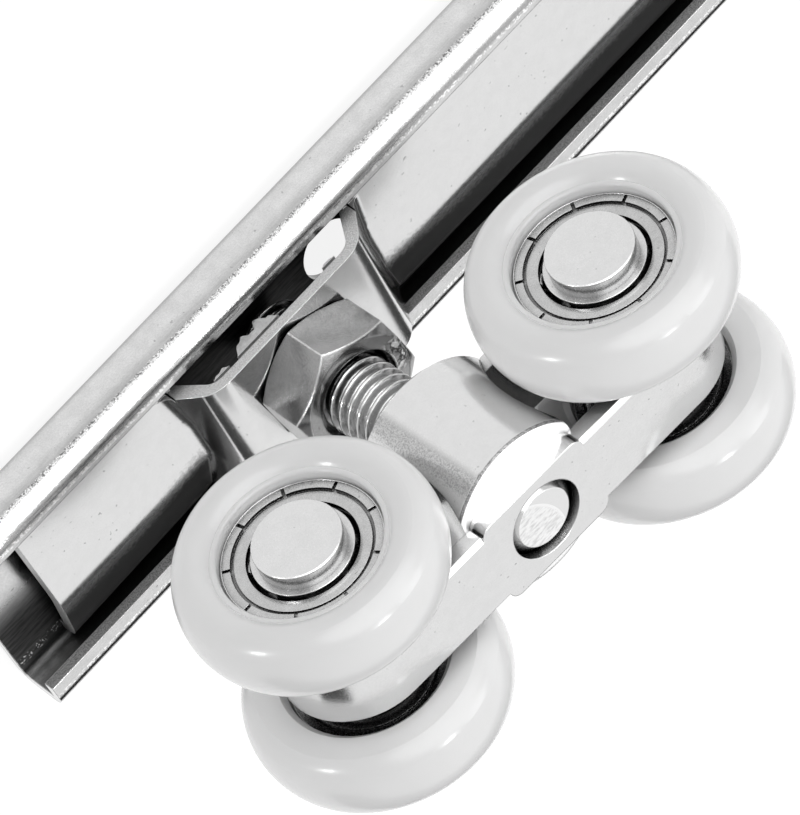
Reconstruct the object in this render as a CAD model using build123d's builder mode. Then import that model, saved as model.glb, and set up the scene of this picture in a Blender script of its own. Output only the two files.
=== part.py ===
from build123d import *
import os
from math import cos, radians, sin, tan

# Hanger roller of a sliding door: a four-wheeled carriage whose M8 bolt swivels under it and screws
# into a hat-shaped hanger plate, which slides in the channel on the door's top edge.
# Millimetres. +Z is up, +X runs along the channel, and the origin is at the middle of its underside.

# ---------------------------------------------------------------- driving dimensions

# Mounting channel
channel_length = 150.0
channel_width = 24.4
channel_height = 6.8
channel_sheet = 1.2
channel_bend_radius = 2.0
channel_lip = 2.5
screw_hole_radius = 3.3
screw_hole_spacing = 52.0

# Hanger plate
bolt_to_channel_end = 38.7
plate_end_margin = 5.8
plate_length = 100.0
plate_sheet = 1.5
plate_side_clearance = 0.5
plate_lip_clearance = 0.1
plate_flat_half_width = 2.8
plate_slope = 15.0
plate_slope_bend_radius = 7.0
plate_edge_bend_radius = 1.8
plate_edge_clearance = 0.2
plate_corner_radius = 4.0
hat_half_length = 10.0
hat_leg_slant = 29.0
hat_lip_clearance = 2.0
hat_rise = 4.6
hat_knee_radius = 3.3
hat_foot_radius = 1.6
hat_foot_overlap = 0.5
hat_collar_wall = 1.2
hat_collar_depth = 1.5

# Hanger bolt, its nut and its swivel
bolt_radius = 4.0
bolt_end_height = 3.0
bolt_tip_chamfer = 0.55
bolt_top_chamfer = 0.93
bolt_top_recess = 0.35
bolt_collar_width = 1.0
bolt_collar_height = 1.2
thread_clearance = 0.05
nut_across_flats = 12.8
nut_height = 6.3
nut_angle = -22.3
nut_chamfer_angle = 30.0
nut_countersink = 0.7
washer_sheet = 0.6
swivel_clearance = 0.08
swivel_play = 0.1

# Carriage
swivel_at_rest = -3.0
axle_height = 34.6
frame_sheet = 2.0
frame_half_width = 4.49
frame_loop_radius = 7.9
frame_edge_chamfer = 0.4
pad_half_length = 6.6
pad_half_width = 5.3
pad_corner_radius = 1.3
frame_hole_clearance = 0.1
barrel_radius = 9.0
barrel_height = 14.2
barrel_wall = 1.56
barrel_edge_chamfer = 0.4
barrel_shoulder_round = 0.7
wheel_clearance = 0.66
weld_gap = 0.04

# Wheels
tyre_radius = 13.04
tyre_edge_drop = 2.09
tyre_half_width = 4.03
tyre_centre = 9.73
tyre_lip_wall = 0.6
tyre_lip_height = 1.0
tyre_lip_step = 0.1
tyre_bore_chamfer = 0.6
tyre_bore_round = 0.35
tyre_crown_share = 0.62
press_gap = 0.01

# Bearings, 8 x 16 x 5
bearing_bore_radius = 4.0
bearing_outer_radius = 8.0
bearing_width = 5.0
bearing_face = 12.14
ring_edge_chamfer = 0.2
ball_share = 0.56
race_depth = 0.12
ball_count = 7
ball_clearance = 0.02
cage_rim = 0.12
cage_half_thickness = 0.4
cage_pocket_clearance = 0.08
shield_bore_radius = 5.48
shield_sheet = 0.25
shield_dome = 0.1
shield_crimp_width = 0.75
shield_crimp_height = 0.62
shield_crimp_recess = 0.08
shield_groove_width = 0.34
shield_groove_depth = 0.35
shield_slot_count = 9
shield_slot_width = 0.36
shield_slot_phase = 2.0

# Axles
axle_head_radius = 4.38
axle_head_height = 1.8
axle_head_round = 0.15
bush_collar_radius = 4.9
seat_gap = 0.02

# ---------------------------------------------------------------- derived places

lip_opening = channel_width / 2 - channel_lip
bolt_x = channel_length / 2 - bolt_to_channel_end
plate_high_x = channel_length / 2 - plate_end_margin
plate_low_x = plate_high_x - plate_length
plate_half_width = channel_width / 2 - channel_sheet - plate_side_clearance
plate_top = channel_height - channel_sheet - plate_lip_clearance
plate_shoulder = plate_top - (plate_half_width - plate_flat_half_width) * tan(radians(plate_slope))
hat_half_width = lip_opening - hat_lip_clearance
hat_top = plate_top + hat_rise
hat_foot = hat_half_length + hat_rise * tan(radians(hat_leg_slant))
nut_top = hat_top + nut_height
bolt_collar_radius = bolt_radius + bolt_collar_width

frame_top = axle_height + frame_loop_radius
frame_underside = frame_top - frame_sheet
barrel_bottom = frame_underside - barrel_height
relief_radius = tyre_radius + wheel_clearance
axle_span = 2 * (relief_radius + barrel_wall + swivel_clearance + bolt_radius)

bearing_centre = bearing_face - bearing_width / 2
bearing_half_section = (bearing_outer_radius - bearing_bore_radius) / 2
pitch_radius = bearing_bore_radius + bearing_half_section
ball_radius = ball_share * bearing_half_section
race_radius = ball_radius + ball_clearance
ring_wall = bearing_half_section - ball_radius + race_depth
cage_pocket_radius = ball_radius + cage_pocket_clearance
tyre_lip_radius = bearing_outer_radius + press_gap + tyre_lip_wall
shield_seat_depth = shield_crimp_height + shield_crimp_recess
shield_seat_radius = bearing_outer_radius - ring_wall / 3.6

washer_floor = frame_underside - swivel_play - bolt_collar_height - washer_sheet
bolt_top = frame_top - bolt_top_recess

bolt_foot = Plane(origin=(bolt_x, 0, 0), x_dir=(1, 0, 0), z_dir=(0, 0, 1))
bolt_side = Plane(origin=(bolt_x, 0, 0), x_dir=(1, 0, 0), z_dir=(0, -1, 0))
bolt_axis = Axis(bolt_foot.origin, bolt_foot.z_dir)
carriage = Plane(
    origin=(bolt_x, 0, 0),
    x_dir=(cos(radians(swivel_at_rest)), sin(radians(swivel_at_rest)), 0),
    z_dir=(0, 0, 1),
)


def carriage_side_plane(along=0.0):
    """Upright plane in the middle of the carriage, centred at axle height; its normal is the axles' direction."""
    origin = carriage.from_local_coords((along, 0, axle_height))
    return Plane(origin=origin, x_dir=carriage.x_dir, z_dir=-carriage.y_dir)


def wheel_profile_plane(along, side):
    """Plane through an axle: x is the radius, y the distance outward from the middle of the carriage."""
    origin = carriage.from_local_coords((along, 0, axle_height))
    return Plane(origin=origin, x_dir=carriage.x_dir, z_dir=carriage.z_dir * side)


def wheel_axis(along, side):
    plane = wheel_profile_plane(along, side)
    return Axis(plane.origin, plane.y_dir)


def wheel_face_plane(along, side, across):
    """Plane across an axle, facing outward, at a distance from the middle of the carriage."""
    origin = carriage.from_local_coords((along, side * across, axle_height))
    return Plane(origin=origin, x_dir=carriage.x_dir, z_dir=carriage.y_dir * side)


def save(piece, name):
    piece.part.label = name
    export_step(piece.part, f"parts/{name}.step")


# ---------------------------------------------------------------- channel and hanger plate


def make_mounting_channel():
    """C-section with inturned lips, swept along X, and screw holes in its web."""
    half_width = channel_width / 2
    with BuildPart() as channel:
        with BuildSketch(Plane.YZ.offset(-channel_length / 2)):
            with BuildLine():
                outside = FilletPolyline(
                    (-lip_opening, channel_height),
                    (-half_width, channel_height),
                    (-half_width, 0),
                    (half_width, 0),
                    (half_width, channel_height),
                    (lip_opening, channel_height),
                    radius=channel_bend_radius,
                )
                offset(outside, amount=channel_sheet, side=Side.LEFT)
            make_face()
        extrude(amount=channel_length)
        with BuildSketch(Plane.XY):
            with GridLocations(screw_hole_spacing, 0, 2, 1):
                Circle(screw_hole_radius)
        extrude(amount=channel_sheet, mode=Mode.SUBTRACT)
    return channel


def draw_plate_crown(edge_foot):
    """The flanges' outline across the channel: flat in the middle, sloping, and turned down at the edges."""
    FilletPolyline(
        (-plate_half_width, edge_foot),
        (-plate_half_width, plate_shoulder),
        (-plate_flat_half_width, plate_top),
        (plate_flat_half_width, plate_top),
        (plate_half_width, plate_shoulder),
        (plate_half_width, edge_foot),
        radius=[
            plate_edge_bend_radius,
            plate_slope_bend_radius,
            plate_slope_bend_radius,
            plate_edge_bend_radius,
        ],
    )


def make_hat():
    """The hat across the channel, its slanted legs ending level with the underside of the flanges."""
    leg_end = plate_shoulder - plate_sheet
    leg_foot = hat_half_length + (hat_top - leg_end) * tan(radians(hat_leg_slant))
    with BuildPart() as hat:
        with BuildSketch(bolt_side):
            with BuildLine():
                rise = FilletPolyline(
                    (-leg_foot, leg_end),
                    (-hat_half_length, hat_top),
                    (hat_half_length, hat_top),
                    (leg_foot, leg_end),
                    radius=hat_knee_radius,
                )
                offset(rise, amount=plate_sheet, side=Side.RIGHT)
            make_face()
        extrude(amount=hat_half_width, both=True)
        with BuildSketch(Plane.YZ.offset(bolt_x)):
            with BuildLine():
                draw_plate_crown(-plate_sheet)
                Line((-plate_half_width, -plate_sheet), (plate_half_width, -plate_sheet))
            make_face()
            offset(amount=-plate_sheet)
        extrude(amount=leg_foot + plate_sheet, both=True, mode=Mode.SUBTRACT)
    return hat


def make_hanger_plate():
    """Pressed plate: sloping flanges with turned-down edges, and a hat with a tapped collar."""
    edge_foot = channel_sheet + plate_edge_clearance
    neck = plate_half_width - plate_corner_radius
    hat = make_hat()
    with BuildPart() as plate:
        # The flanges, along the channel, and the window for the hat
        with BuildSketch(Plane.YZ.offset(plate_low_x)):
            with BuildLine():
                draw_plate_crown(edge_foot)
                offset(amount=plate_sheet, side=Side.RIGHT)
            make_face()
        extrude(amount=plate_length)
        with BuildSketch(bolt_foot):
            Rectangle(2 * (hat_foot - hat_foot_overlap), 2 * channel_width)
        extrude(amount=hat_top, mode=Mode.SUBTRACT)
        add(hat.part)
        # The crease where each leg meets its flange
        creases = plate.edges().filter_by(
            lambda edge: abs(abs(edge.center().X - bolt_x) - hat_foot) < hat_foot_overlap
            and abs(edge.center().X - bolt_x) > hat_foot - hat_foot_overlap / 2
            and edge.center().Z > plate_shoulder
            and edge.bounding_box().size.X < hat_foot_overlap
        )
        fillet(creases, hat_foot_radius)
        # The flanges' round corners beside the window
        with BuildSketch(bolt_foot):
            with GridLocations(2 * hat_foot + plate_corner_radius, plate_half_width + neck, 2, 2):
                Rectangle(plate_corner_radius, plate_corner_radius)
            with GridLocations(2 * (hat_foot + plate_corner_radius), 2 * neck, 2, 2):
                Circle(plate_corner_radius, mode=Mode.SUBTRACT)
        extrude(amount=plate_top, mode=Mode.SUBTRACT)
        # Collar drawn down round the bolt
        with BuildSketch(bolt_foot.offset(hat_top - plate_sheet)):
            Circle(bolt_radius + thread_clearance + hat_collar_wall)
        extrude(amount=-hat_collar_depth)
        with BuildSketch(bolt_foot):
            Circle(bolt_radius + thread_clearance)
        extrude(amount=hat_top, mode=Mode.SUBTRACT)
    return plate


# ---------------------------------------------------------------- bolt, nut and swivel


def make_hanger_bolt():
    """M8 bolt with a thin collar that it hangs by, chamfered at both ends."""
    collar_low = washer_floor + washer_sheet
    collar_high = collar_low + bolt_collar_height
    with BuildPart() as bolt:
        with BuildSketch(bolt_side):
            with BuildLine():
                Polyline(
                    (0, bolt_end_height),
                    (bolt_radius - bolt_tip_chamfer, bolt_end_height),
                    (bolt_radius, bolt_end_height + bolt_tip_chamfer),
                    (bolt_radius, collar_low),
                    (bolt_collar_radius, collar_low),
                    (bolt_collar_radius, collar_high),
                    (bolt_radius, collar_high),
                    (bolt_radius, bolt_top - bolt_top_chamfer),
                    (bolt_radius - bolt_top_chamfer, bolt_top),
                    (0, bolt_top),
                    close=True,
                )
            make_face()
        revolve(axis=bolt_axis)
    return bolt


def make_clamp_nut():
    """Hexagon nut, chamfered at both ends down to a circle just inside its flats."""
    corner_radius = nut_across_flats / 2 / cos(radians(30))
    rim = corner_radius - nut_across_flats / 2 * 0.97
    drop = rim * sin(radians(nut_chamfer_angle)) / cos(radians(nut_chamfer_angle))
    with BuildPart() as nut:
        with BuildSketch(bolt_foot.offset(hat_top)):
            RegularPolygon(corner_radius, 6, rotation=nut_angle)
            Circle(bolt_radius + thread_clearance, mode=Mode.SUBTRACT)
        extrude(amount=nut_height)
        with BuildSketch(bolt_side):
            with BuildLine():
                Polyline(
                    (0, hat_top),
                    (corner_radius - rim, hat_top),
                    (corner_radius, hat_top + drop),
                    (corner_radius, nut_top - drop),
                    (corner_radius - rim, nut_top),
                    (0, nut_top),
                    close=True,
                )
            make_face()
        revolve(axis=bolt_axis, mode=Mode.INTERSECT)
        mouth = nut.faces().sort_by(Axis.Z)[-1].inner_wires()[0]
        chamfer(mouth.edges(), nut_countersink)
    return nut


def make_thrust_washer():
    """Hardened washer between the bolt's collar and the floor of the barrel's recess."""
    with BuildPart() as washer:
        with BuildSketch(carriage.offset(washer_floor)):
            Circle(bolt_collar_radius)
            Circle(bolt_radius + swivel_clearance, mode=Mode.SUBTRACT)
        extrude(amount=washer_sheet)
    return washer


# ---------------------------------------------------------------- carriage


def make_barrel():
    """Round block that the bolt hangs in, hollowed on both sides to clear the wheels."""
    with BuildPart() as barrel:
        with BuildSketch(carriage.offset(barrel_bottom)):
            Circle(barrel_radius)
        extrude(amount=frame_underside - barrel_bottom)
        chamfer(barrel.faces().sort_by(Axis.Z)[0].edges(), barrel_edge_chamfer)
        fillet(barrel.faces().sort_by(Axis.Z)[-1].edges(), barrel_shoulder_round)
        with BuildSketch(carriage_side_plane()):
            with GridLocations(axle_span, 0, 2, 1):
                Circle(relief_radius)
        extrude(amount=barrel_radius, both=True, mode=Mode.SUBTRACT)
        with BuildSketch(carriage.offset(barrel_bottom)):
            Circle(bolt_radius + swivel_clearance)
        extrude(amount=frame_underside - barrel_bottom, mode=Mode.SUBTRACT)
        with BuildSketch(carriage.offset(washer_floor)):
            Circle(bolt_collar_radius + swivel_clearance)
        extrude(amount=frame_underside - washer_floor, mode=Mode.SUBTRACT)
    return barrel


def make_carriage_frame():
    """Steel strip looped round both axles; its ends are welded to the barrel under the top plate."""
    with BuildPart() as frame:
        with BuildSketch(carriage_side_plane()):
            SlotCenterToCenter(axle_span, 2 * frame_loop_radius)
            SlotCenterToCenter(
                axle_span, 2 * (frame_loop_radius - frame_sheet), mode=Mode.SUBTRACT
            )
        extrude(amount=frame_half_width, both=True)
        sides = frame.faces().sort_by(Axis(carriage.origin, carriage.y_dir))
        chamfer(sides[0].outer_wire().edges() + sides[-1].outer_wire().edges(), frame_edge_chamfer)
        # The gap in the lower run follows the hollows of the barrel
        with BuildSketch(carriage_side_plane()):
            with Locations((0, -frame_loop_radius)):
                Rectangle(2 * barrel_radius, 2 * frame_loop_radius)
            with GridLocations(axle_span, 0, 2, 1):
                Circle(relief_radius - weld_gap, mode=Mode.SUBTRACT)
        extrude(amount=frame_half_width, both=True, mode=Mode.SUBTRACT)
        with BuildSketch(carriage.offset(frame_underside)):
            RectangleRounded(2 * pad_half_length, 2 * pad_half_width, pad_corner_radius)
        extrude(amount=frame_sheet)
        with BuildSketch(carriage.offset(frame_underside)):
            Circle(bolt_radius + frame_hole_clearance)
        extrude(amount=frame_sheet, mode=Mode.SUBTRACT)
    return frame


def make_axle(along):
    """Axle through a pair of wheels, riveted over at both ends."""
    head_face = bearing_face + axle_head_height
    with BuildPart() as axle:
        with BuildSketch(carriage_side_plane(along)):
            Circle(bearing_bore_radius - seat_gap)
        extrude(amount=head_face, both=True)
        for side in (-1, 1):
            with BuildSketch(wheel_profile_plane(along, side)):
                with BuildLine():
                    FilletPolyline(
                        (axle_head_radius, bearing_face),
                        (axle_head_radius, head_face),
                        (0, head_face),
                        radius=axle_head_round,
                    )
                    Polyline((0, head_face), (0, bearing_face), (axle_head_radius, bearing_face))
                make_face()
            revolve(axis=wheel_axis(along, side))
    return axle


def make_axle_bush(along):
    """Bush that fills the looped end of the strip and holds the bearings off it."""
    with BuildPart() as bush:
        with BuildSketch(carriage_side_plane(along)):
            Circle(bush_collar_radius)
        extrude(amount=bearing_face - bearing_width, both=True)
        with BuildSketch(carriage_side_plane(along)):
            Circle(frame_loop_radius - frame_sheet - seat_gap)
        extrude(amount=frame_half_width, both=True)
        with BuildSketch(carriage_side_plane(along)):
            Circle(bearing_bore_radius)
        extrude(
            amount=bearing_face - bearing_width, both=True, mode=Mode.SUBTRACT
        )
    return bush


# ---------------------------------------------------------------- wheels and bearings


def make_tyre(along, side):
    """Nylon wheel: a nearly flat crown between two round shoulders, and a low lip round the bearing."""
    bore = bearing_outer_radius + press_gap
    outer = tyre_centre + tyre_half_width
    inner = tyre_centre - tyre_half_width
    shoulder = tyre_radius - tyre_edge_drop
    crown_end = tyre_crown_share * tyre_half_width
    crown_edge = tyre_radius - tyre_edge_drop * tyre_crown_share**3
    lip_top = bearing_face + tyre_lip_height
    with BuildPart() as tyre:
        with BuildSketch(wheel_profile_plane(along, side)):
            with BuildLine():
                crown = ThreePointArc(
                    (crown_edge, tyre_centre - crown_end),
                    (tyre_radius, tyre_centre),
                    (crown_edge, tyre_centre + crown_end),
                )
                outer_flank = TangentArc(crown @ 1, (shoulder, outer), tangent=crown % 1)
                TangentArc(crown @ 0, (shoulder, inner), tangent=-(crown % 0))
                TangentArc(
                    outer_flank @ 1,
                    (tyre_lip_radius, lip_top - tyre_lip_step),
                    tangent=outer_flank % 1,
                )
                Polyline(
                    (tyre_lip_radius, lip_top - tyre_lip_step),
                    (tyre_lip_radius - tyre_lip_step, lip_top),
                    (bore + tyre_bore_round, lip_top),
                )
                TangentArc(
                    (bore + tyre_bore_round, lip_top),
                    (bore, lip_top - tyre_bore_round),
                    tangent=(-1, 0),
                )
                Polyline(
                    (bore, lip_top - tyre_bore_round),
                    (bore, inner + tyre_bore_chamfer),
                    (bore + tyre_bore_chamfer, inner),
                    (shoulder, inner),
                )
            make_face()
        revolve(axis=wheel_axis(along, side))
    return tyre


def make_outer_ring(along, side):
    """Outer ring of the bearing, with its ball race and the seats of both shields."""
    shoulder = bearing_outer_radius - ring_wall
    half_land = bearing_width / 2 - shield_seat_depth
    with BuildPart() as ring:
        with BuildSketch(wheel_profile_plane(along, side)):
            with Locations(((shoulder + bearing_outer_radius) / 2, bearing_centre)):
                blank = Rectangle(ring_wall, bearing_width)
            chamfer(blank.vertices().group_by(Axis.X)[-1], ring_edge_chamfer)
            seat_width = 2 * (shield_seat_radius - shoulder)
            for end in (-1, 1):
                with Locations(
                    (shoulder, bearing_centre + end * (half_land + shield_seat_depth / 2))
                ):
                    Rectangle(seat_width, shield_seat_depth, mode=Mode.SUBTRACT)
            with Locations((pitch_radius, bearing_centre)):
                Circle(race_radius, mode=Mode.SUBTRACT)
        revolve(axis=wheel_axis(along, side))
    return ring


def make_inner_ring(along, side):
    """Inner ring of the bearing, with its ball race."""
    with BuildPart() as ring:
        with BuildSketch(wheel_profile_plane(along, side)):
            with Locations((bearing_bore_radius + ring_wall / 2, bearing_centre)):
                Rectangle(ring_wall, bearing_width)
            with Locations((pitch_radius, bearing_centre)):
                Circle(race_radius, mode=Mode.SUBTRACT)
        revolve(axis=wheel_axis(along, side))
    return ring


def make_shield(along, side, end):
    """Pressed shield closing one end of a bearing; the outer one's crimped rim is parted by slots."""
    face = bearing_centre + end * bearing_width / 2
    rim_radius = shield_seat_radius - seat_gap
    crimp_inner = rim_radius - shield_crimp_width
    disc_outer = crimp_inner - shield_groove_width
    crimp_face = face - end * shield_crimp_recess
    back = crimp_face - end * (shield_crimp_height - seat_gap)
    groove = back + end * shield_sheet
    disc_face = groove + end * shield_groove_depth
    with BuildPart() as shield:
        with BuildSketch(wheel_profile_plane(along, side)):
            with BuildLine():
                ThreePointArc(
                    (shield_bore_radius, disc_face - end * shield_dome),
                    ((shield_bore_radius + disc_outer) / 2, disc_face),
                    (disc_outer, disc_face - end * shield_dome),
                )
                Polyline(
                    (disc_outer, disc_face - end * shield_dome),
                    (disc_outer, groove),
                    (crimp_inner, groove),
                    (crimp_inner, crimp_face),
                    (rim_radius, crimp_face),
                    (rim_radius, back),
                    (disc_outer, back),
                    (shield_bore_radius, disc_face - end * (shield_dome + shield_sheet)),
                    (shield_bore_radius, disc_face - end * shield_dome),
                )
            make_face()
        revolve(axis=wheel_axis(along, side))
        if end > 0:
            slot_plane = wheel_face_plane(along, side, groove)
            with BuildSketch(slot_plane):
                with PolarLocations(
                    (crimp_inner + rim_radius) / 2,
                    shield_slot_count,
                    start_angle=-side * shield_slot_phase,
                ):
                    Rectangle(2 * shield_crimp_width, shield_slot_width)
                Circle(crimp_inner, mode=Mode.SUBTRACT)
            extrude(amount=shield_crimp_height, mode=Mode.SUBTRACT)
    return shield


def make_cage(along, side):
    """Ring with a pocket for every ball."""
    pocket = 2 * cage_pocket_radius
    with BuildPart() as cage:
        with BuildSketch(wheel_face_plane(along, side, bearing_centre)):
            Circle(pitch_radius + cage_half_thickness)
            Circle(pitch_radius - cage_half_thickness, mode=Mode.SUBTRACT)
        extrude(amount=cage_pocket_radius + cage_rim, both=True)
        with Locations(wheel_face_plane(along, side, bearing_centre)):
            with PolarLocations(pitch_radius, ball_count):
                Box(4 * cage_half_thickness, pocket, pocket, mode=Mode.SUBTRACT)
    return cage


def make_balls(along, side):
    with BuildPart() as balls:
        with Locations(wheel_face_plane(along, side, bearing_centre)):
            with PolarLocations(pitch_radius, ball_count):
                Sphere(ball_radius)
    return balls


# ---------------------------------------------------------------- the whole assembly

os.makedirs("parts", exist_ok=True)

save(make_mounting_channel(), "mounting_channel")
save(make_hanger_plate(), "hanger_plate")
save(make_clamp_nut(), "clamp_nut")
save(make_hanger_bolt(), "hanger_bolt")
save(make_thrust_washer(), "thrust_washer")
save(make_barrel(), "barrel")
save(make_carriage_frame(), "carriage_frame")

for axle_name, along in (("front", axle_span / 2), ("rear", -axle_span / 2)):
    save(make_axle(along), f"axle_{axle_name}")
    save(make_axle_bush(along), f"axle_bush_{axle_name}")
    for side_name, side in (("left", 1), ("right", -1)):
        corner = f"{axle_name}_{side_name}"
        save(make_tyre(along, side), f"tyre_{corner}")
        save(make_outer_ring(along, side), f"outer_ring_{corner}")
        save(make_inner_ring(along, side), f"inner_ring_{corner}")
        save(make_shield(along, side, 1), f"outer_shield_{corner}")
        save(make_shield(along, side, -1), f"inner_shield_{corner}")
        save(make_cage(along, side), f"cage_{corner}")
        save(make_balls(along, side), f"balls_{corner}")
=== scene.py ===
import math
import bpy
import bmesh
from mathutils import Matrix, Vector, noise


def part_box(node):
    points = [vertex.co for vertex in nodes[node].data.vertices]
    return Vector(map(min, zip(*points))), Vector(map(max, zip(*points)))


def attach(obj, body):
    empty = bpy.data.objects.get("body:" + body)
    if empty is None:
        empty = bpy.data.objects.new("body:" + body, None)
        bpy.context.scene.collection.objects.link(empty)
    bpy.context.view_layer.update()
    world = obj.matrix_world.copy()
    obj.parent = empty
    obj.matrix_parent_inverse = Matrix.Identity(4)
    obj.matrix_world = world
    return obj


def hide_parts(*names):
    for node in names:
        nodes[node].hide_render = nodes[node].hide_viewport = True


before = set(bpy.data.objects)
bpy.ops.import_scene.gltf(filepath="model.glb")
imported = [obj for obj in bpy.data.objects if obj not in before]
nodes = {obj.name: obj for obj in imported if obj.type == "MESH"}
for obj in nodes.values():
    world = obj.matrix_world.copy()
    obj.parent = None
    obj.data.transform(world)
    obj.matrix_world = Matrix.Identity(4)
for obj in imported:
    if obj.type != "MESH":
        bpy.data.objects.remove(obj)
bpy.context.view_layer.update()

# The looks of a sliding door's hanger roller and its top channel. Lengths and places are in
# millimetres in the CAD's frame, except in the studio at the end, which is in metres. Tones are
# grey levels from 0 to 1, and a noise's scale is in waves per millimetre.

MM = 0.001
CORNERS = ["front_left", "front_right", "rear_left", "rear_right"]


def box_mm(node):
    """A CAD node's low and high corner."""
    low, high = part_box(node)
    return Vector(low) / MM, Vector(high) / MM


# ------------------------------------------------------------------ places and sizes

channel_high = box_mm("mounting_channel")[1]
plate_high = box_mm("hanger_plate")[1]
nut_high = box_mm("clamp_nut")[1]
bolt_low, bolt_high = box_mm("hanger_bolt")
barrel_low, barrel_high = box_mm("barrel")
bolt_x = (bolt_low.x + bolt_high.x) / 2

# Sizes in the CAD that no box gives
channel_lip = 2.5
channel_sheet = 1.2
plate_sheet = 1.5
hat_rise = 4.6
flange_flat_half = 2.8
flange_half = 8.9
flange_bend_radius = 7.0
flange_slope = math.radians(15.0)

lip_edge = channel_high.y - channel_lip
lip_underside = channel_high.z - channel_sheet
inner_wall = channel_high.y - channel_sheet
web_top = channel_sheet
hat_underside = plate_high.z - plate_sheet
flange_top = plate_high.z - hat_rise

# How the real channel's lips and the real plate's far edge differ from the CAD's
near_lip_longer = 0.3
far_lip_longer = 1.1
far_edge_start = 7.0
far_edge_width = 2.5
far_edge_drawn_in = 0.5
far_edge_drawn_in_by_hat = 0.6
hat_pull_start = 12.0
hat_pull_fade = 14.0

# Distances from the bolt between which the hat's effect on the painted shade of channel and plate
# fades
shelter_start = 11.0
shelter_end = 24.0

# The bolt's M8 thread, whose root and flank are shares of half a pitch, and its two ends
thread_crest = 4.0
thread_depth = 0.66
thread_pitch = 1.25
thread_root = 0.12
thread_flank = 0.72
thread_fade = 0.8
thread_top = barrel_low.z + 1.0
bolt_point = 0.9
bolt_point_slope = 0.9
bolt_top_chamfer = 0.93

# The torn burrs under the hat's near cut edge
plate_cut = -7.7
burr_root = hat_underside + 0.1
burr_sheet = 0.7
burr_ripple = 0.2
burr_raggedness = 0.25

weld_distance = 0.002
sharpest_smooth_bend = math.radians(28)

# Roughnesses: a steel up to the first looks metallic, and from the second it is matt, as where cut
metallic_up_to = 0.5
matt_from = 0.6
cut_roughness = 0.62


# ------------------------------------------------------------------ shader helpers

class NodeTree:
    """A node tree, written as nested calls: a call adds a node and gives what comes out of it."""

    def __init__(self, tree):
        self.tree = tree

    def add(self, kind, settings=None, inputs=None, out=0):
        """Adds a node and gives one of its outputs, or all of them where out is None."""
        made = self.tree.nodes.new(kind)
        for key, value in (settings or {}).items():
            setattr(made, key, value)
        for key, value in (inputs or {}).items():
            self.feed(made.inputs[key], value)
        return made.outputs if out is None else made.outputs[out]

    def feed(self, socket, value):
        if isinstance(value, bpy.types.NodeSocket):
            self.tree.links.new(value, socket)
        else:
            socket.default_value = value

    def math(self, operation, a, b=0.0):
        return self.add("ShaderNodeMath", {"operation": operation}, {0: a, 1: b})

    def vector_math(self, operation, a, b, out=0):
        return self.add("ShaderNodeVectorMath", {"operation": operation}, {0: a, 1: b}, out)

    def seen_directly(self):
        """One for rays from the camera, from gloss and through clear matter."""
        rays = self.add("ShaderNodeLightPath", out=None)
        seen = self.math("MAXIMUM", rays["Is Camera Ray"], rays["Is Glossy Ray"])
        return self.math("MAXIMUM", seen, rays["Is Transmission Ray"])


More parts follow.
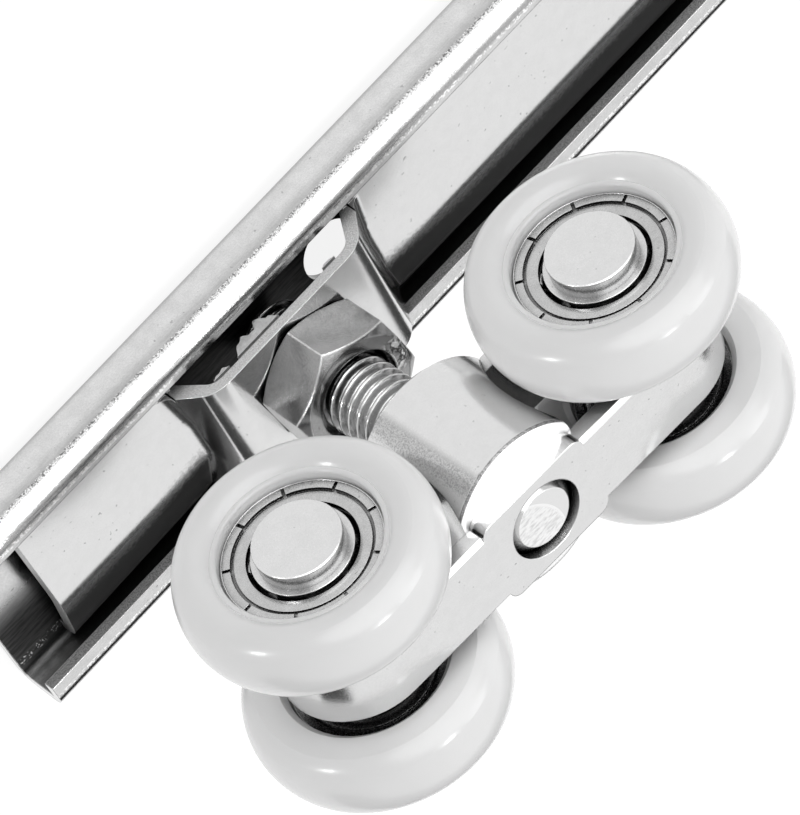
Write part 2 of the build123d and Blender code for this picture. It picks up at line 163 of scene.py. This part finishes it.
class Shader(NodeTree):
    """A material's node tree. Its places are in millimetres in the object's own frame."""

    def __init__(self, name):
        self.material = bpy.data.materials.new(name)
        self.material.use_nodes = True
        super().__init__(self.material.node_tree)
        self.tree.nodes.clear()
        self.output = self.tree.nodes.new("ShaderNodeOutputMaterial")
        coords = self.add("ShaderNodeTexCoord", out=None)
        in_metres = {0: coords["Object"], "Scale": 1 / MM}
        self.place = self.add("ShaderNodeVectorMath", {"operation": "SCALE"}, in_metres)
        self.facing = coords["Normal"]

    def absolute(self, value):
        return self.math("ABSOLUTE", value)

    def product(self, *factors):
        made = factors[0]
        for factor in factors[1:]:
            made = self.math("MULTIPLY", made, factor)
        return made

    def split(self, vector):
        return self.add("ShaderNodeSeparateXYZ", None, {0: vector}, out=None)

    def away(self, point, flat=False):
        """Distance from a point, or with flat from the upright line through it."""
        offset = self.vector_math("SUBTRACT", self.place, point)
        if flat:
            offset = self.vector_math("MULTIPLY", offset, (1, 1, 0))
        return self.add("ShaderNodeVectorMath", {"operation": "LENGTH"}, {0: offset}, out=1)

    def beside_bolt(self):
        """Distance from the bolt along the channel."""
        return self.absolute(self.math("SUBTRACT", self.split(self.place)[0], bolt_x))

    def stretch(self, scale, turn=(0, 0, 0)):
        inputs = {"Vector": self.place, "Scale": scale, "Rotation": turn}
        return self.add("ShaderNodeMapping", None, inputs)

    def noise(self, scale, detail, rough, vector=None, distortion=0.0):
        """A noise between nought and one, with its middle at a half."""
        return self.add("ShaderNodeTexNoise", None, {
            "Vector": vector or self.place, "Scale": scale, "Detail": detail,
            "Roughness": rough, "Distortion": distortion})

    def swing(self, pattern, width):
        """A noise moved to lie about nought, and made that wide."""
        return self.product(self.math("SUBTRACT", pattern, 0.5), width)

    def ramp(self, value, low, high, out_low=0.0, out_high=1.0):
        """Goes smoothly from out_low to out_high as a value goes from low to high."""
        return self.add("ShaderNodeMapRange", {"interpolation_type": "SMOOTHSTEP"}, {
            "Value": value, "From Min": low, "From Max": high, "To Min": out_low, "To Max": out_high})

    def fall(self, value, low, high):
        """Goes smoothly from one to nought as a value goes from low to high."""
        return self.ramp(value, low, high, 1.0, 0.0)

    def between(self, value, low, high, soft):
        """One from low to high, fading over soft on either side."""
        return self.product(self.ramp(value, low - soft, low), self.fall(value, high, high + soft))

    def mix(self, factor, a, b):
        """The first value where the factor is nought, and the second where it is one."""
        return self.add("ShaderNodeMix", {"data_type": "FLOAT"}, {0: factor, 2: a, 3: b})

    def openness(self, reach):
        """How open the surface is to what lies round it, as far as a reach."""
        inputs = {"Distance": reach * MM}
        return self.add("ShaderNodeAmbientOcclusion", {"samples": 8}, inputs, out=1)

    def bump(self, height, strength, distance, normal=None):
        inputs = {"Height": height, "Strength": strength, "Distance": distance * MM}
        if normal:
            inputs["Normal"] = normal
        return self.add("ShaderNodeBump", None, inputs)

    def show(self, surface):
        """Makes this surface the material's own, and gives the material."""
        self.feed(self.output.inputs["Surface"], surface)
        return self.material

    def finish(self, inputs):
        return self.show(self.add("ShaderNodeBsdfPrincipled", None, inputs))


def grey(level):
    return (level, level, level, 1.0)


# ------------------------------------------------------------------ what each metal shows
# Each of these takes a steel's tone, roughness and relief, and gives them back changed.

def rolled_bends(s, level, gloss, height):
    """The channel: painted highlight on its bends, a speckled border, darker lips, painted shade
    inside.
    """
    flank_shade_share = 0.66
    prick_tone = 0.16
    glint_tone = 0.95
    painted_spark_tone = 1.0
    shaded_inside_roughness = 0.42
    speck_relief = 2.0
    face, place = s.split(s.facing), s.split(s.place)
    outside = s.absolute(place[1])
    drawn = s.noise(1.0, 3.0, 0.6, s.stretch((0.35, 3.2, 3.2)))
    specks = s.noise(3.6, 2.0, 0.6)
    fine_speckle = s.noise(6.5, 2.0, 0.6)
    upper = s.product(s.ramp(place[2], 3.2, 3.6), s.ramp(outside, lip_edge + 0.1, lip_edge + 0.3))

    # Shade is painted on the flanks, deepening towards the bends.
    on_wall = s.ramp(outside, channel_high.y - 0.5, channel_high.y - 0.3)
    flank = s.product(s.ramp(place[2], 2.8, 5.2), on_wall)
    flank_shade = s.product(flank, s.ramp(drawn, 0.2, 0.8, 0.6, 1.0))
    level = s.product(level, s.ramp(flank_shade, 0.0, 1.0, 1.0, flank_shade_share))

    # Each bend's lower border is pricked with dark specks and bright painted glints.
    border = s.product(s.between(face[2], 0.12, 0.34, 0.08), upper)
    pricks = s.fall(specks, 0.42, 0.5)
    glints = s.ramp(fine_speckle, 0.54, 0.62)
    level = s.mix(s.product(border, pricks), level, prick_tone)
    level = s.mix(s.product(border, glints), level, glint_tone)

    # The lips are darker, and darker outwards, with painted glints along their edge.
    lip = s.product(s.ramp(face[2], 0.9, 0.96), upper)
    inward = s.ramp(outside, lip_edge + 0.3, channel_high.y - 1.7, 0.74, 0.42)
    level = s.mix(lip, level, s.product(inward, s.ramp(fine_speckle, 0.3, 0.7, 0.85, 1.12)))
    along_edge = s.between(outside, lip_edge + 0.2, lip_edge + 0.6, 0.15)
    level = s.mix(s.product(lip, along_edge, s.ramp(specks, 0.5, 0.56)), level, painted_spark_tone)

    # A highlight is painted on the bends in a band with ragged sides.
    turn = s.math("ADD", face[2], s.math("ADD", s.swing(drawn, 0.3), s.swing(specks, 0.5)))
    painted_highlight_band = s.product(s.between(turn, 0.34, 0.72, 0.2), s.fall(face[2], 0.93, 0.99), upper)
    level = s.mix(painted_highlight_band, level, s.ramp(fine_speckle, 0.32, 0.5, 0.4, 0.9))

    # Inside, shade is painted towards the far wall and under the hat. The lips' cut edges are matt.
    within_walls = s.fall(outside, inner_wall - 0.1, inner_wall + 0.1)
    inside = s.product(within_walls, s.ramp(place[2], web_top - 0.2, web_top - 0.1))
    below_lip = s.fall(place[2], lip_underside - 0.1, lip_underside + 0.05)
    under_hat = s.fall(s.beside_bolt(), shelter_start, shelter_end)
    sheltered = s.math("MAXIMUM", s.ramp(place[1], -0.5, 4.5), under_hat)
    painted_shade_inside = s.product(inside, sheltered, below_lip)
    level = s.mix(painted_shade_inside, level, s.ramp(drawn, 0.3, 0.7, 0.05, 0.12))
    gloss = s.mix(painted_shade_inside, gloss, shaded_inside_roughness)
    at_lip = s.ramp(place[2], lip_underside - 0.1, lip_underside + 0.05)
    upright = s.ramp(s.absolute(face[1]), 0.85, 0.95)
    cut = s.product(inside, upright, at_lip, s.fall(outside, lip_edge, lip_edge + 0.3))
    level = s.mix(cut, level, s.ramp(fine_speckle, 0.3, 0.7, 0.12, 0.42))
    gloss = s.mix(cut, gloss, cut_roughness)

    # Painted glints lie in bright specks along the web's far corner.
    low_down = s.product(s.ramp(place[2], web_top - 0.05, web_top), s.fall(place[2], 1.8, 2.0))
    corner = s.product(s.between(place[1], 8.9, 9.6, 0.15), low_down)
    level = s.mix(s.product(corner, s.ramp(specks, 0.58, 0.64)), level, painted_spark_tone)

    above = s.product(upper, s.ramp(face[2], -0.05, 0.0))
    height = s.math("ADD", height, s.product(specks, above, speck_relief))
    return level, gloss, height


def sheared_edges(s, level, gloss, height):
    """The plate: matt grained cut edges, and a painted dark reflection on its far slope with a ragged
    border.
    """
    slope_roughness = 0.45
    rim_tone = 0.45
    rim_roughness = 0.4
    end_roughness = 0.42
    cut_relief = 3.0
    face, place = s.split(s.facing), s.split(s.place)
    below_hat = s.fall(place[2], flange_top + 0.1, flange_top + 0.2)
    grain = s.noise(6.5, 3.0, 0.7)
    patches = s.noise(2.2, 4.0, 0.7)

    # A dark reflection is painted on the far slope up to a ragged border, which comes nearer beside
    # the hat.
    near_hat = s.ramp(s.beside_bolt(), shelter_start, shelter_end, 1.6, 0.0)
    across = s.math("ADD", s.math("ADD", place[1], near_hat), s.swing(patches, 2.4))
    painted_slope_reflection = s.product(s.ramp(across, 2.5, 5.3), below_hat, s.ramp(face[2], 0.8, 0.9))
    level = s.mix(painted_slope_reflection, level, s.ramp(place[1], 4.5, 8.8, 0.06, 0.2))
    gloss = s.mix(painted_slope_reflection, gloss, slope_roughness)
    # A mid-grey reflection is painted on the far rim, where it turns down and away.
    rim = s.product(s.between(face[1], 0.4, 0.8, 0.1), below_hat)
    level = s.mix(rim, level, rim_tone)
    gloss = s.mix(rim, gloss, rim_roughness)

    # The plate's ends and the hat's sides are cut, and coarsely grained.
    end = s.ramp(s.absolute(face[0]), 0.93, 0.97)
    level = s.mix(end, level, s.ramp(grain, 0.3, 0.7, 0.42, 0.72))
    gloss = s.mix(end, gloss, end_roughness)
    inside_edges = s.fall(s.absolute(place[1]), 8.0, 8.2)
    side = s.product(s.ramp(s.absolute(face[1]), 0.85, 0.95), inside_edges)
    level = s.mix(side, level, s.ramp(grain, 0.3, 0.7, 0.5, 0.95))
    gloss = s.mix(side, gloss, cut_roughness)
    height = s.math("ADD", height, s.product(grain, s.math("MAXIMUM", side, end), cut_relief))
    return level, gloss, height


def bruised_corner(s, level, gloss, height):
    """The nut: a wrench has bruised one corner of its top."""
    dark_tone = 0.07
    bright_tone = 0.85
    dent_relief = -9.0
    bruise = (bolt_x - 5.4, -0.4, nut_high.z)
    near = s.fall(s.away(bruise), 1.0, 2.8)
    dents = s.noise(1.1, 3.0, 0.55, distortion=0.6)
    dark = s.product(s.between(dents, 0.47, 0.53, 0.02), near)
    bright = s.product(s.ramp(dents, 0.55, 0.6), near)
    level = s.mix(bright, s.mix(dark, level, dark_tone), bright_tone)
    height = s.math("ADD", height, s.product(dents, near, dent_relief))
    return level, gloss, height


def swaged_end(s, level, gloss, height):
    """The bolt: a punch has left one side of its end bright and grained, up to an arc."""
    top_tone = 0.78
    arc_tone = 0.92
    struck_roughness = 0.34
    mark_relief = 4.0
    punch = (bolt_x + 4.2, 2.0, 0.0)
    punch_radius = 5.7
    face, place = s.split(s.facing), s.split(s.place)
    near_top = s.ramp(place[2], bolt_high.z - 0.4, bolt_high.z - 0.2)
    top = s.product(s.ramp(face[2], 0.9, 0.97), near_top)
    reach = s.away(punch, flat=True)
    struck = s.product(s.fall(reach, punch_radius, punch_radius + 0.1), top)
    arc = s.product(s.between(reach, punch_radius, punch_radius + 0.25, 0.08), top)
    marks = s.noise(2.4, 3.0, 0.6, s.stretch((0.5, 1.6, 1.0), (0, 0, 0.5)))
    level = s.mix(top, level, top_tone)
    level = s.mix(struck, level, s.ramp(marks, 0.3, 0.62, 0.7, 0.98))
    level = s.mix(arc, level, arc_tone)
    gloss = s.mix(struck, gloss, struck_roughness)
    height = s.math("ADD", height, s.product(marks, struck, mark_relief))
    return level, gloss, height


def barrel_streak(s, level, gloss, height):
    """The barrel: a speckled painted dark reflection on its side, a painted highlight on top with a
    painted dark outline.
    """
    painted_reflection_strength = 0.7
    top_tone = 1.0
    top_roughness = 0.46
    face, place = s.split(s.facing), s.split(s.place)
    specks = s.noise(6.0, 3.0, 0.65)
    # A dark reflection is painted in a speckled streak down the side.
    around = s.math("ADD", s.math("ARCTAN2", face[1], face[0]), s.swing(specks, 0.16))
    upright = s.fall(s.absolute(face[2]), 0.2, 0.4)
    painted_reflection_streak = s.product(s.between(around, -1.22, -1.08, 0.11), upright)
    level = s.mix(s.product(painted_reflection_streak, painted_reflection_strength), level, s.ramp(specks, 0.35, 0.65, 0.2, 0.5))
    # The top is painted white as a highlight.
    near_top = s.ramp(place[2], barrel_high.z - 0.8, barrel_high.z - 0.6)
    top = s.product(near_top, s.ramp(face[2], 0.1, 0.3))
    level = s.mix(top, level, top_tone)
    gloss = s.mix(top, gloss, top_roughness)
    # Shade is painted where the top's edge rounds over.
    outline = s.product(s.between(face[2], 0.2, 0.6, 0.1), top)
    level = s.mix(outline, level, s.ramp(specks, 0.3, 0.7, 0.1, 0.4))
    return level, gloss, height


def crimped_rim(s, level, gloss, height):
    """A bearing's shield: painted shade in the fine groove round its crimped rim."""
    groove_reach = 0.9
    groove_shade_share = 0.25
    level = s.product(level, s.ramp(s.openness(groove_reach), 0.4, 0.9, groove_shade_share, 1.0))
    return level, gloss, height


# ------------------------------------------------------------------ materials

def steel(name, tone, spread, rough, pits=0.3, recess=0.1, detail=None, grain=4.5, edge=0.16):
    """Plated steel: fine grain, scattered pits, edges with wear and painted highlight, painted shade
    in recesses.

    The grain takes the tone up and down by twice the spread at most, a pit takes off the share
    pits, painted shade in the deepest recess keeps the share recess of the tone, and the edges
    look rounded to radius edge.
    """
    rubbed_highlight_tone = 0.92
    recess_reach = 9.0
    relief_strength = 0.25
    relief_depth = 0.02
    s = Shader(name)
    fine = s.noise(grain, 3.0, 0.65)
    broad = s.noise(0.7, 2.0, 0.5)
    level = s.mix(fine, tone * (1 - 2 * spread), tone * (1 + 2 * spread))
    level = s.product(level, s.ramp(broad, 0.3, 0.7, 1 - 0.4 * spread, 1 + 0.4 * spread))
    pitted = s.ramp(s.noise(2.1, 1.0, 0.4), 0.74, 0.8)
    level = s.product(level, s.ramp(pitted, 0.0, 1.0, 1.0, 1.0 - pits))
    gloss = s.ramp(fine, 0.25, 0.75, rough - 0.03, rough + 0.04)
    height = s.math("SUBTRACT", fine, pitted)
    if detail:
        level, gloss, height = detail(s, level, gloss, height)
    soft_edge = s.add("ShaderNodeBevel", {"samples": 4}, {"Radius": edge * MM})
    true_normal = s.add("ShaderNodeNewGeometry", out="True Normal")
    alike = s.vector_math("DOT_PRODUCT", soft_edge, true_normal, out=1)
    # Edges are lightened, for wear and as a painted highlight.
    rubbed_and_highlit = s.product(s.fall(alike, 0.9, 0.985), s.ramp(fine, 0.3, 0.6, 0.5, 1.0))
    level = s.mix(rubbed_and_highlit, level, rubbed_highlight_tone)
    # Painted shade darkens recesses, down to the share recess of the tone.
    level = s.product(level, s.ramp(s.openness(recess_reach), 0.12, 0.6, recess, 1.0))
    return s.finish({
        "Base Color": level,
        "Metallic": s.fall(gloss, metallic_up_to, matt_from),
        "Roughness": gloss,
        "Normal": s.bump(height, relief_strength, relief_depth, soft_edge),
    })


def nylon(name):
    """White moulded nylon, a little clouded and a little translucent."""
    s = Shader(name)
    cloud = s.noise(0.1, 2.0, 0.5)
    fine = s.noise(3.0, 3.0, 0.6)
    return s.finish({
        "Base Color": s.ramp(cloud, 0.3, 0.7, 0.89, 0.92),
        "Roughness": s.ramp(fine, 0.3, 0.7, 0.22, 0.27),
        "Subsurface Weight": 0.3,
        "Subsurface Radius": (1.0, 1.0, 1.0),
        "Subsurface Scale": 2.5 * MM,
        "Coat Weight": 0.2,
        "Coat Roughness": 0.12,
        "Normal": s.bump(fine, 0.06, 0.01),
    })


def paint(node, material):
    """Gives the whole of a CAD node one material."""
    mesh = nodes[node].data
    mesh.materials.clear()
    mesh.materials.append(material)
    mesh.polygons.foreach_set("material_index", [0] * len(mesh.polygons))


channel_steel = steel(
    "channel_steel", tone=0.66, spread=0.11, rough=0.17, recess=0.25, detail=rolled_bends, grain=5.5)
plate_steel = steel(
    "plate_steel", tone=0.75, spread=0.03, rough=0.15, recess=0.06, detail=sheared_edges)
torn_steel = steel("torn_steel", tone=0.7, spread=0.14, rough=0.64, recess=1.0)
nut_steel = steel(
    "nut_steel", tone=0.31, spread=0.1, rough=0.14, pits=0.2, recess=0.25, detail=bruised_corner,
    edge=0.3)
bolt_steel = steel(
    "bolt_steel", tone=0.55, spread=0.08, rough=0.16, recess=0.12, detail=swaged_end)
barrel_steel = steel(
    "barrel_steel", tone=0.69, spread=0.03, rough=0.17, pits=0.2, recess=0.5, detail=barrel_streak)
frame_steel = steel("frame_steel", tone=0.74, spread=0.03, rough=0.16)
axle_steel = steel("axle_steel", tone=0.68, spread=0.04, rough=0.24, pits=0.2, recess=0.15)
bearing_steel = steel("bearing_steel", tone=0.62, spread=0.1, rough=0.24, recess=0.6)
shield_steel = steel(
    "shield_steel", tone=0.5, spread=0.13, rough=0.26, detail=crimped_rim, grain=6.0, edge=0.05)
cage_steel = steel("cage_steel", tone=0.45, spread=0.06, rough=0.35, pits=0.2, recess=0.2)
ball_steel = steel("ball_steel", tone=0.65, spread=0.05, rough=0.08, pits=0.0, recess=0.3)
white_nylon = nylon("white_nylon")

paint("mounting_channel", channel_steel)
paint("hanger_plate", plate_steel)
paint("clamp_nut", nut_steel)
paint("hanger_bolt", bolt_steel)
paint("thrust_washer", bearing_steel)
paint("barrel", barrel_steel)
paint("carriage_frame", frame_steel)
for end in ("front", "rear"):
    paint(f"axle_{end}", axle_steel)
    paint(f"axle_bush_{end}", cage_steel)
for corner in CORNERS:
    paint(f"tyre_{corner}", white_nylon)
    paint(f"outer_ring_{corner}", bearing_steel)
    paint(f"inner_ring_{corner}", bearing_steel)
    paint(f"outer_shield_{corner}", shield_steel)
    paint(f"inner_shield_{corner}", shield_steel)
    paint(f"cage_{corner}", cage_steel)
    paint(f"balls_{corner}", ball_steel)


# ------------------------------------------------------------------ pieces

def clamp(value):
    return min(1.0, max(0.0, value))


def ease(share):
    """A share from 0 to 1, made gentle at both ends."""
    return share * share * (3 - 2 * share)


def place_mesh(name, bm, material, body):
    """Makes a piece from a bmesh. It is shaded smooth and rides on a body."""
    mesh = bpy.data.meshes.new(name)
    bm.to_mesh(mesh)
    bm.free()
    mesh.polygons.foreach_set("use_smooth", [True] * len(mesh.polygons))
    piece = bpy.data.objects.new(name, mesh)
    bpy.context.scene.collection.objects.link(piece)
    mesh.materials.append(material)
    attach(piece, body)
    return piece


def thread_radius(z, turn):
    """The thread's radius at a height and a share of a turn: pointed below, and fading out above."""
    phase = ((z - bolt_low.z) / thread_pitch - turn) % 1.0
    crest_share = ease(clamp((abs(phase - 0.5) * 2 - thread_root) / thread_flank))
    fade = clamp((thread_top - z) / thread_fade)
    point = max(0.0, bolt_point - (z - bolt_low.z)) * bolt_point_slope
    return min(thread_crest - thread_depth * (1 - crest_share) * fade, thread_crest - point)


def threaded_bolt():
    """The CAD bolt's own outline with a rolled M8 x 1.25 thread up to its plain shank."""
    rows_per_turn = 14
    sides = 112
    row_height = thread_pitch / rows_per_turn
    heights = [bolt_low.z]
    while heights[-1] + row_height < thread_top:
        heights.append(heights[-1] + row_height)
    outline = [(z, None) for z in heights] + [
        (thread_top, thread_crest),
        (bolt_high.z - bolt_top_chamfer, thread_crest),
        (bolt_high.z, thread_crest - bolt_top_chamfer),
    ]
    bm = bmesh.new()
    rings = []
    for z, plain_radius in outline:
        ring = []
        for step in range(sides):
            angle = 2 * math.pi * step / sides
            radius = plain_radius or thread_radius(z, step / sides)
            point = Vector((bolt_x + radius * math.cos(angle), radius * math.sin(angle), z))
            ring.append(bm.verts.new(point * MM))
        rings.append(ring)
    for lower, upper in zip(rings, rings[1:]):
        for step in range(sides):
            after = (step + 1) % sides
            bm.faces.new((lower[step], lower[after], upper[after], upper[step]))
    bm.faces.new(list(reversed(rings[0])))
    bm.faces.new(rings[-1])
    piece = place_mesh("bolt_thread", bm, bolt_steel, "bolt")
    # Its ends and its top chamfer face up or down more than the thread does, and are shaded flat.
    end_tilt = 0.6
    smooth = [abs(polygon.normal.z) < end_tilt for polygon in piece.data.polygons]
    piece.data.polygons.foreach_set("use_smooth", smooth)
    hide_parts("hanger_bolt")


def weigh_normals(mesh):
    """Weighs shading normals by area, so a thin triangle beside a bend leaves the flat plain."""
    same_bend = math.cos(sharpest_smooth_bend)
    faces_at = {}
    for polygon in mesh.polygons:
        for vertex in polygon.vertices:
            faces_at.setdefault(vertex, []).append(polygon)
    normals = []
    for polygon in mesh.polygons:
        for vertex in polygon.vertices:
            total = Vector((0, 0, 0))
            for other in faces_at[vertex]:
                if other.normal.dot(polygon.normal) > same_bend:
                    total += other.normal * other.area
            normals.append(total.normalized())
    mesh.normals_split_custom_set(normals)


def reshaped(node, move):
    """A bmesh of a CAD node's mesh, welded, with every point moved."""
    bm = bmesh.new()
    bm.from_mesh(nodes[node].data)
    bmesh.ops.remove_doubles(bm, verts=bm.verts, dist=weld_distance * MM)
    for vert in bm.verts:
        vert.co = Vector(move(*(vert.co / MM))) * MM
    return bm


def crown_drop(y):
    """How far the CAD flange's top has fallen at a place across it."""
    bend_start = flange_flat_half - flange_bend_radius * math.tan(flange_slope / 2)
    reach = min(abs(y), flange_half)
    if reach <= bend_start:
        return 0.0
    if reach < bend_start + flange_bend_radius * math.sin(flange_slope):
        return flange_bend_radius - math.sqrt(flange_bend_radius ** 2 - (reach - bend_start) ** 2)
    return (reach - flange_flat_half) * math.tan(flange_slope)


def press(x, y, z):
    """Lifts the plate's near flange until it is flat, and draws its far edge in, most by the hat."""
    if y < 0:
        below_hat = clamp((plate_high.z - z) / hat_rise)
        z += crown_drop(y) * below_hat
    elif z < flange_top and y > far_edge_start:
        near_hat = clamp(1 - max(0.0, abs(x - bolt_x) - hat_pull_start) / hat_pull_fade)
        drawn_in = far_edge_drawn_in + far_edge_drawn_in_by_hat * near_hat
        y -= drawn_in * min(1.0, (y - far_edge_start) / far_edge_width)
    return x, y, z


def roll(x, y, z):
    """Takes the edges of the channel's lips further in than the CAD's, the far one most."""
    if z > lip_underside - 0.1 and abs(y) < lip_edge + 0.1:
        y += near_lip_longer if y < 0 else -far_lip_longer
    return x, y, z


def pressed_plate():
    """The hanger plate, its near side flat and its far edge drawn in."""
    bm = reshaped("hanger_plate", press)
    piece = place_mesh("pressed_plate", bm, plate_steel, "hanger")
    weigh_normals(piece.data)
    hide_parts("hanger_plate")


def rolled_channel():
    """The channel, its two lips longer than the CAD's."""
    bm = reshaped("mounting_channel", roll)
    piece = place_mesh("rolled_channel", bm, channel_steel, "channel")
    weigh_normals(piece.data)
    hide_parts("mounting_channel")


def on_outline(outline, share):
    """The place and the drop at a share of the way through an outline's points."""
    position = share * (len(outline) - 1)
    before = min(int(position), len(outline) - 2)
    part = position - before
    (x_before, drop_before), (x_after, drop_after) = outline[before:before + 2]
    x = x_before * (1 - part) + x_after * part
    part = ease(part)
    return x, drop_before * (1 - part) + drop_after * part


def burr(name, outline, seed):
    """A torn lip of metal under the hat's cut edge, from its drop at places along the channel.

    Its outer face ripples, and the metal thins away downwards.
    """
    across = 60
    down = 8
    ragged_scale = 1.7
    ripple_scale_along = 1.3
    ripple_scale_down = 1.8
    bm = bmesh.new()
    columns = []
    for i in range(across + 1):
        x, drop = on_outline(outline, i / across)
        drop *= 1 + burr_raggedness * noise.noise(Vector((x * ragged_scale, seed, 0.0)))
        outer, inner = [], []
        for j in range(down + 1):
            depth = j / down
            z = burr_root - drop * depth
            wave = Vector((x * ripple_scale_along, depth * ripple_scale_down, seed))
            ripple = burr_ripple * noise.noise(wave)
            outer.append((x, plate_cut + ripple * depth, z))
            inner.append((x, plate_cut + burr_sheet * math.sqrt(1 - depth ** 2), z))
        columns.append([bm.verts.new(Vector(point) * MM) for point in outer + inner])
    for first, second in zip(columns, columns[1:]):
        for j in range(down):
            bm.faces.new((first[j], first[j + 1], second[j + 1], second[j]))
            k = j + down + 1
            bm.faces.new((first[k], second[k], second[k + 1], first[k + 1]))
    bmesh.ops.recalc_face_normals(bm, faces=bm.faces)
    place_mesh(name, bm, torn_steel, "hanger")


threaded_bolt()
pressed_plate()
rolled_channel()
burr("burr_middle", [
    (36.4, 0.0), (37.2, 0.9), (38.2, 1.7), (39.1, 0.8), (40.2, 1.3), (41.2, 1.0), (42.1, 0.0)], 3.0)
burr("burr_front", [(43.2, 0.0), (43.8, 0.35), (44.6, 0.3), (45.3, 0.0)], 8.0)
burr("burr_rear", [(28.6, 0.0), (29.2, 0.2), (29.8, 0.25), (30.3, 0.0)], 5.0)


# ------------------------------------------------------------------ floor, light and camera

def floor_material():
    """A floor seen as white with the object's shadow on it, which throws light back as pale grey."""
    shadow_tones = (0.22, 0.24)
    glow_strength = 0.87
    plain_tone = 0.8
    s = Shader("studio_floor")
    speckle = s.ramp(s.noise(0.02, 2.0, 0.5), 0.3, 0.7, *shadow_tones)
    shadowed = s.add("ShaderNodeBsdfDiffuse", None, {"Color": speckle})
    glow = s.add("ShaderNodeEmission", None, {"Color": grey(1.0), "Strength": glow_strength})
    white = s.add("ShaderNodeAddShader", None, {0: shadowed, 1: glow})
    plain = s.add("ShaderNodeBsdfDiffuse", None, {"Color": grey(plain_tone)})
    return s.show(s.add("ShaderNodeMixShader", None, {0: s.seen_directly(), 1: plain, 2: white}))


def flag_material():
    """Black cloth."""
    s = Shader("black_flag")
    weave = s.noise(0.5, 2.0, 0.5)
    return s.finish({"Base Color": s.ramp(weave, 0.3, 0.7, 0.02, 0.04), "Roughness": 0.9})


def studio_sheet(name, corners, material):
    """A flat sheet with four corners."""
    mesh = bpy.data.meshes.new(name)
    mesh.from_pydata(corners, [], [(0, 1, 2, 3)])
    mesh.materials.append(material)
    sheet = bpy.data.objects.new(name, mesh)
    bpy.context.scene.collection.objects.link(sheet)
    return sheet


def lamp(name, offset, size, power, only_gloss=False):
    """A round lamp at an offset from the carriage, aimed at it."""
    carriage = Vector((0.036, 0.0, 0.02))
    data = bpy.data.lights.new(name, "AREA")
    data.shape = "DISK"
    data.size = size
    data.energy = power
    made = bpy.data.objects.new(name, data)
    made.location = carriage + Vector(offset)
    made.rotation_euler = (carriage - made.location).to_track_quat("-Z", "Y").to_euler()
    made.visible_camera = False
    made.visible_diffuse = not only_gloss
    bpy.context.scene.collection.objects.link(made)


floor_half = 3
floor_gap = 0.0005
floor_corners = [
    (-floor_half, -floor_half, 0), (floor_half, -floor_half, 0),
    (floor_half, floor_half, 0), (-floor_half, floor_half, 0)]
floor = studio_sheet("studio_floor", floor_corners, floor_material())
floor.location.z = -floor_gap

# A black flag behind the object gives bright metal its dark reflections. Only gloss sees it.
flag_half = 0.5
flag_height = 0.15
flag_y = 0.25
flag_corners = [
    (-flag_half, flag_y, 0), (flag_half, flag_y, 0),
    (flag_half, flag_y, flag_height), (-flag_half, flag_y, flag_height)]
flag = studio_sheet("black_flag", flag_corners, flag_material())
flag.visible_camera = flag.visible_diffuse = flag.visible_shadow = flag.visible_transmission = False

# The world lights the object at a plain level, and shows as white.
light_level = 0.7
shown_level = 1.0
world = bpy.data.worlds.new("studio")
world.use_nodes = True
sky = NodeTree(world.node_tree)
background = world.node_tree.nodes["Background"]
strength = sky.add("ShaderNodeMapRange", None, {
    "Value": sky.seen_directly(), "To Min": light_level, "To Max": shown_level})
sky.feed(background.inputs["Color"], grey(1.0))
sky.feed(background.inputs["Strength"], strength)
bpy.context.scene.world = world

lamp("front_softbox", (-0.135, -0.666, 0.594), size=1.3, power=8.4, only_gloss=True)
lamp("key_softbox", (-0.55, -0.05, 0.8), size=0.5, power=1.8)
lamp("top_spot", (-0.03, -0.02, 0.6), size=0.1, power=0.5, only_gloss=True)
lamp("low_spot", (0.35, -0.21, 0.014), size=0.06, power=0.25, only_gloss=True)

# A long lens, above the near side and rolled on its axis, so that the channel runs aslant
camera_data = bpy.data.cameras.new("camera")
camera_data.sensor_width = 36.0
camera_data.lens = 260.70
camera_data.shift_x = 0.00925
camera_data.shift_y = 0.00128
camera_data.clip_start = 0.01
camera_data.clip_end = 20.0
camera = bpy.data.objects.new("camera", camera_data)
camera_place = Vector((0.151713, -0.421549, 0.360846))
right = Vector((-0.67177, 0.34474, 0.65565))
down = Vector((0.71057, 0.55001, 0.43885))
forward = Vector((-0.20932, 0.76069, -0.61444))
turn = Matrix((right, -down, -forward)).transposed().to_4x4()
camera.matrix_world = Matrix.Translation(camera_place) @ turn
bpy.context.scene.collection.objects.link(camera)
bpy.context.scene.camera = camera

bpy.context.scene.view_settings.view_transform = "Standard"

bpy.context.view_layer.update()
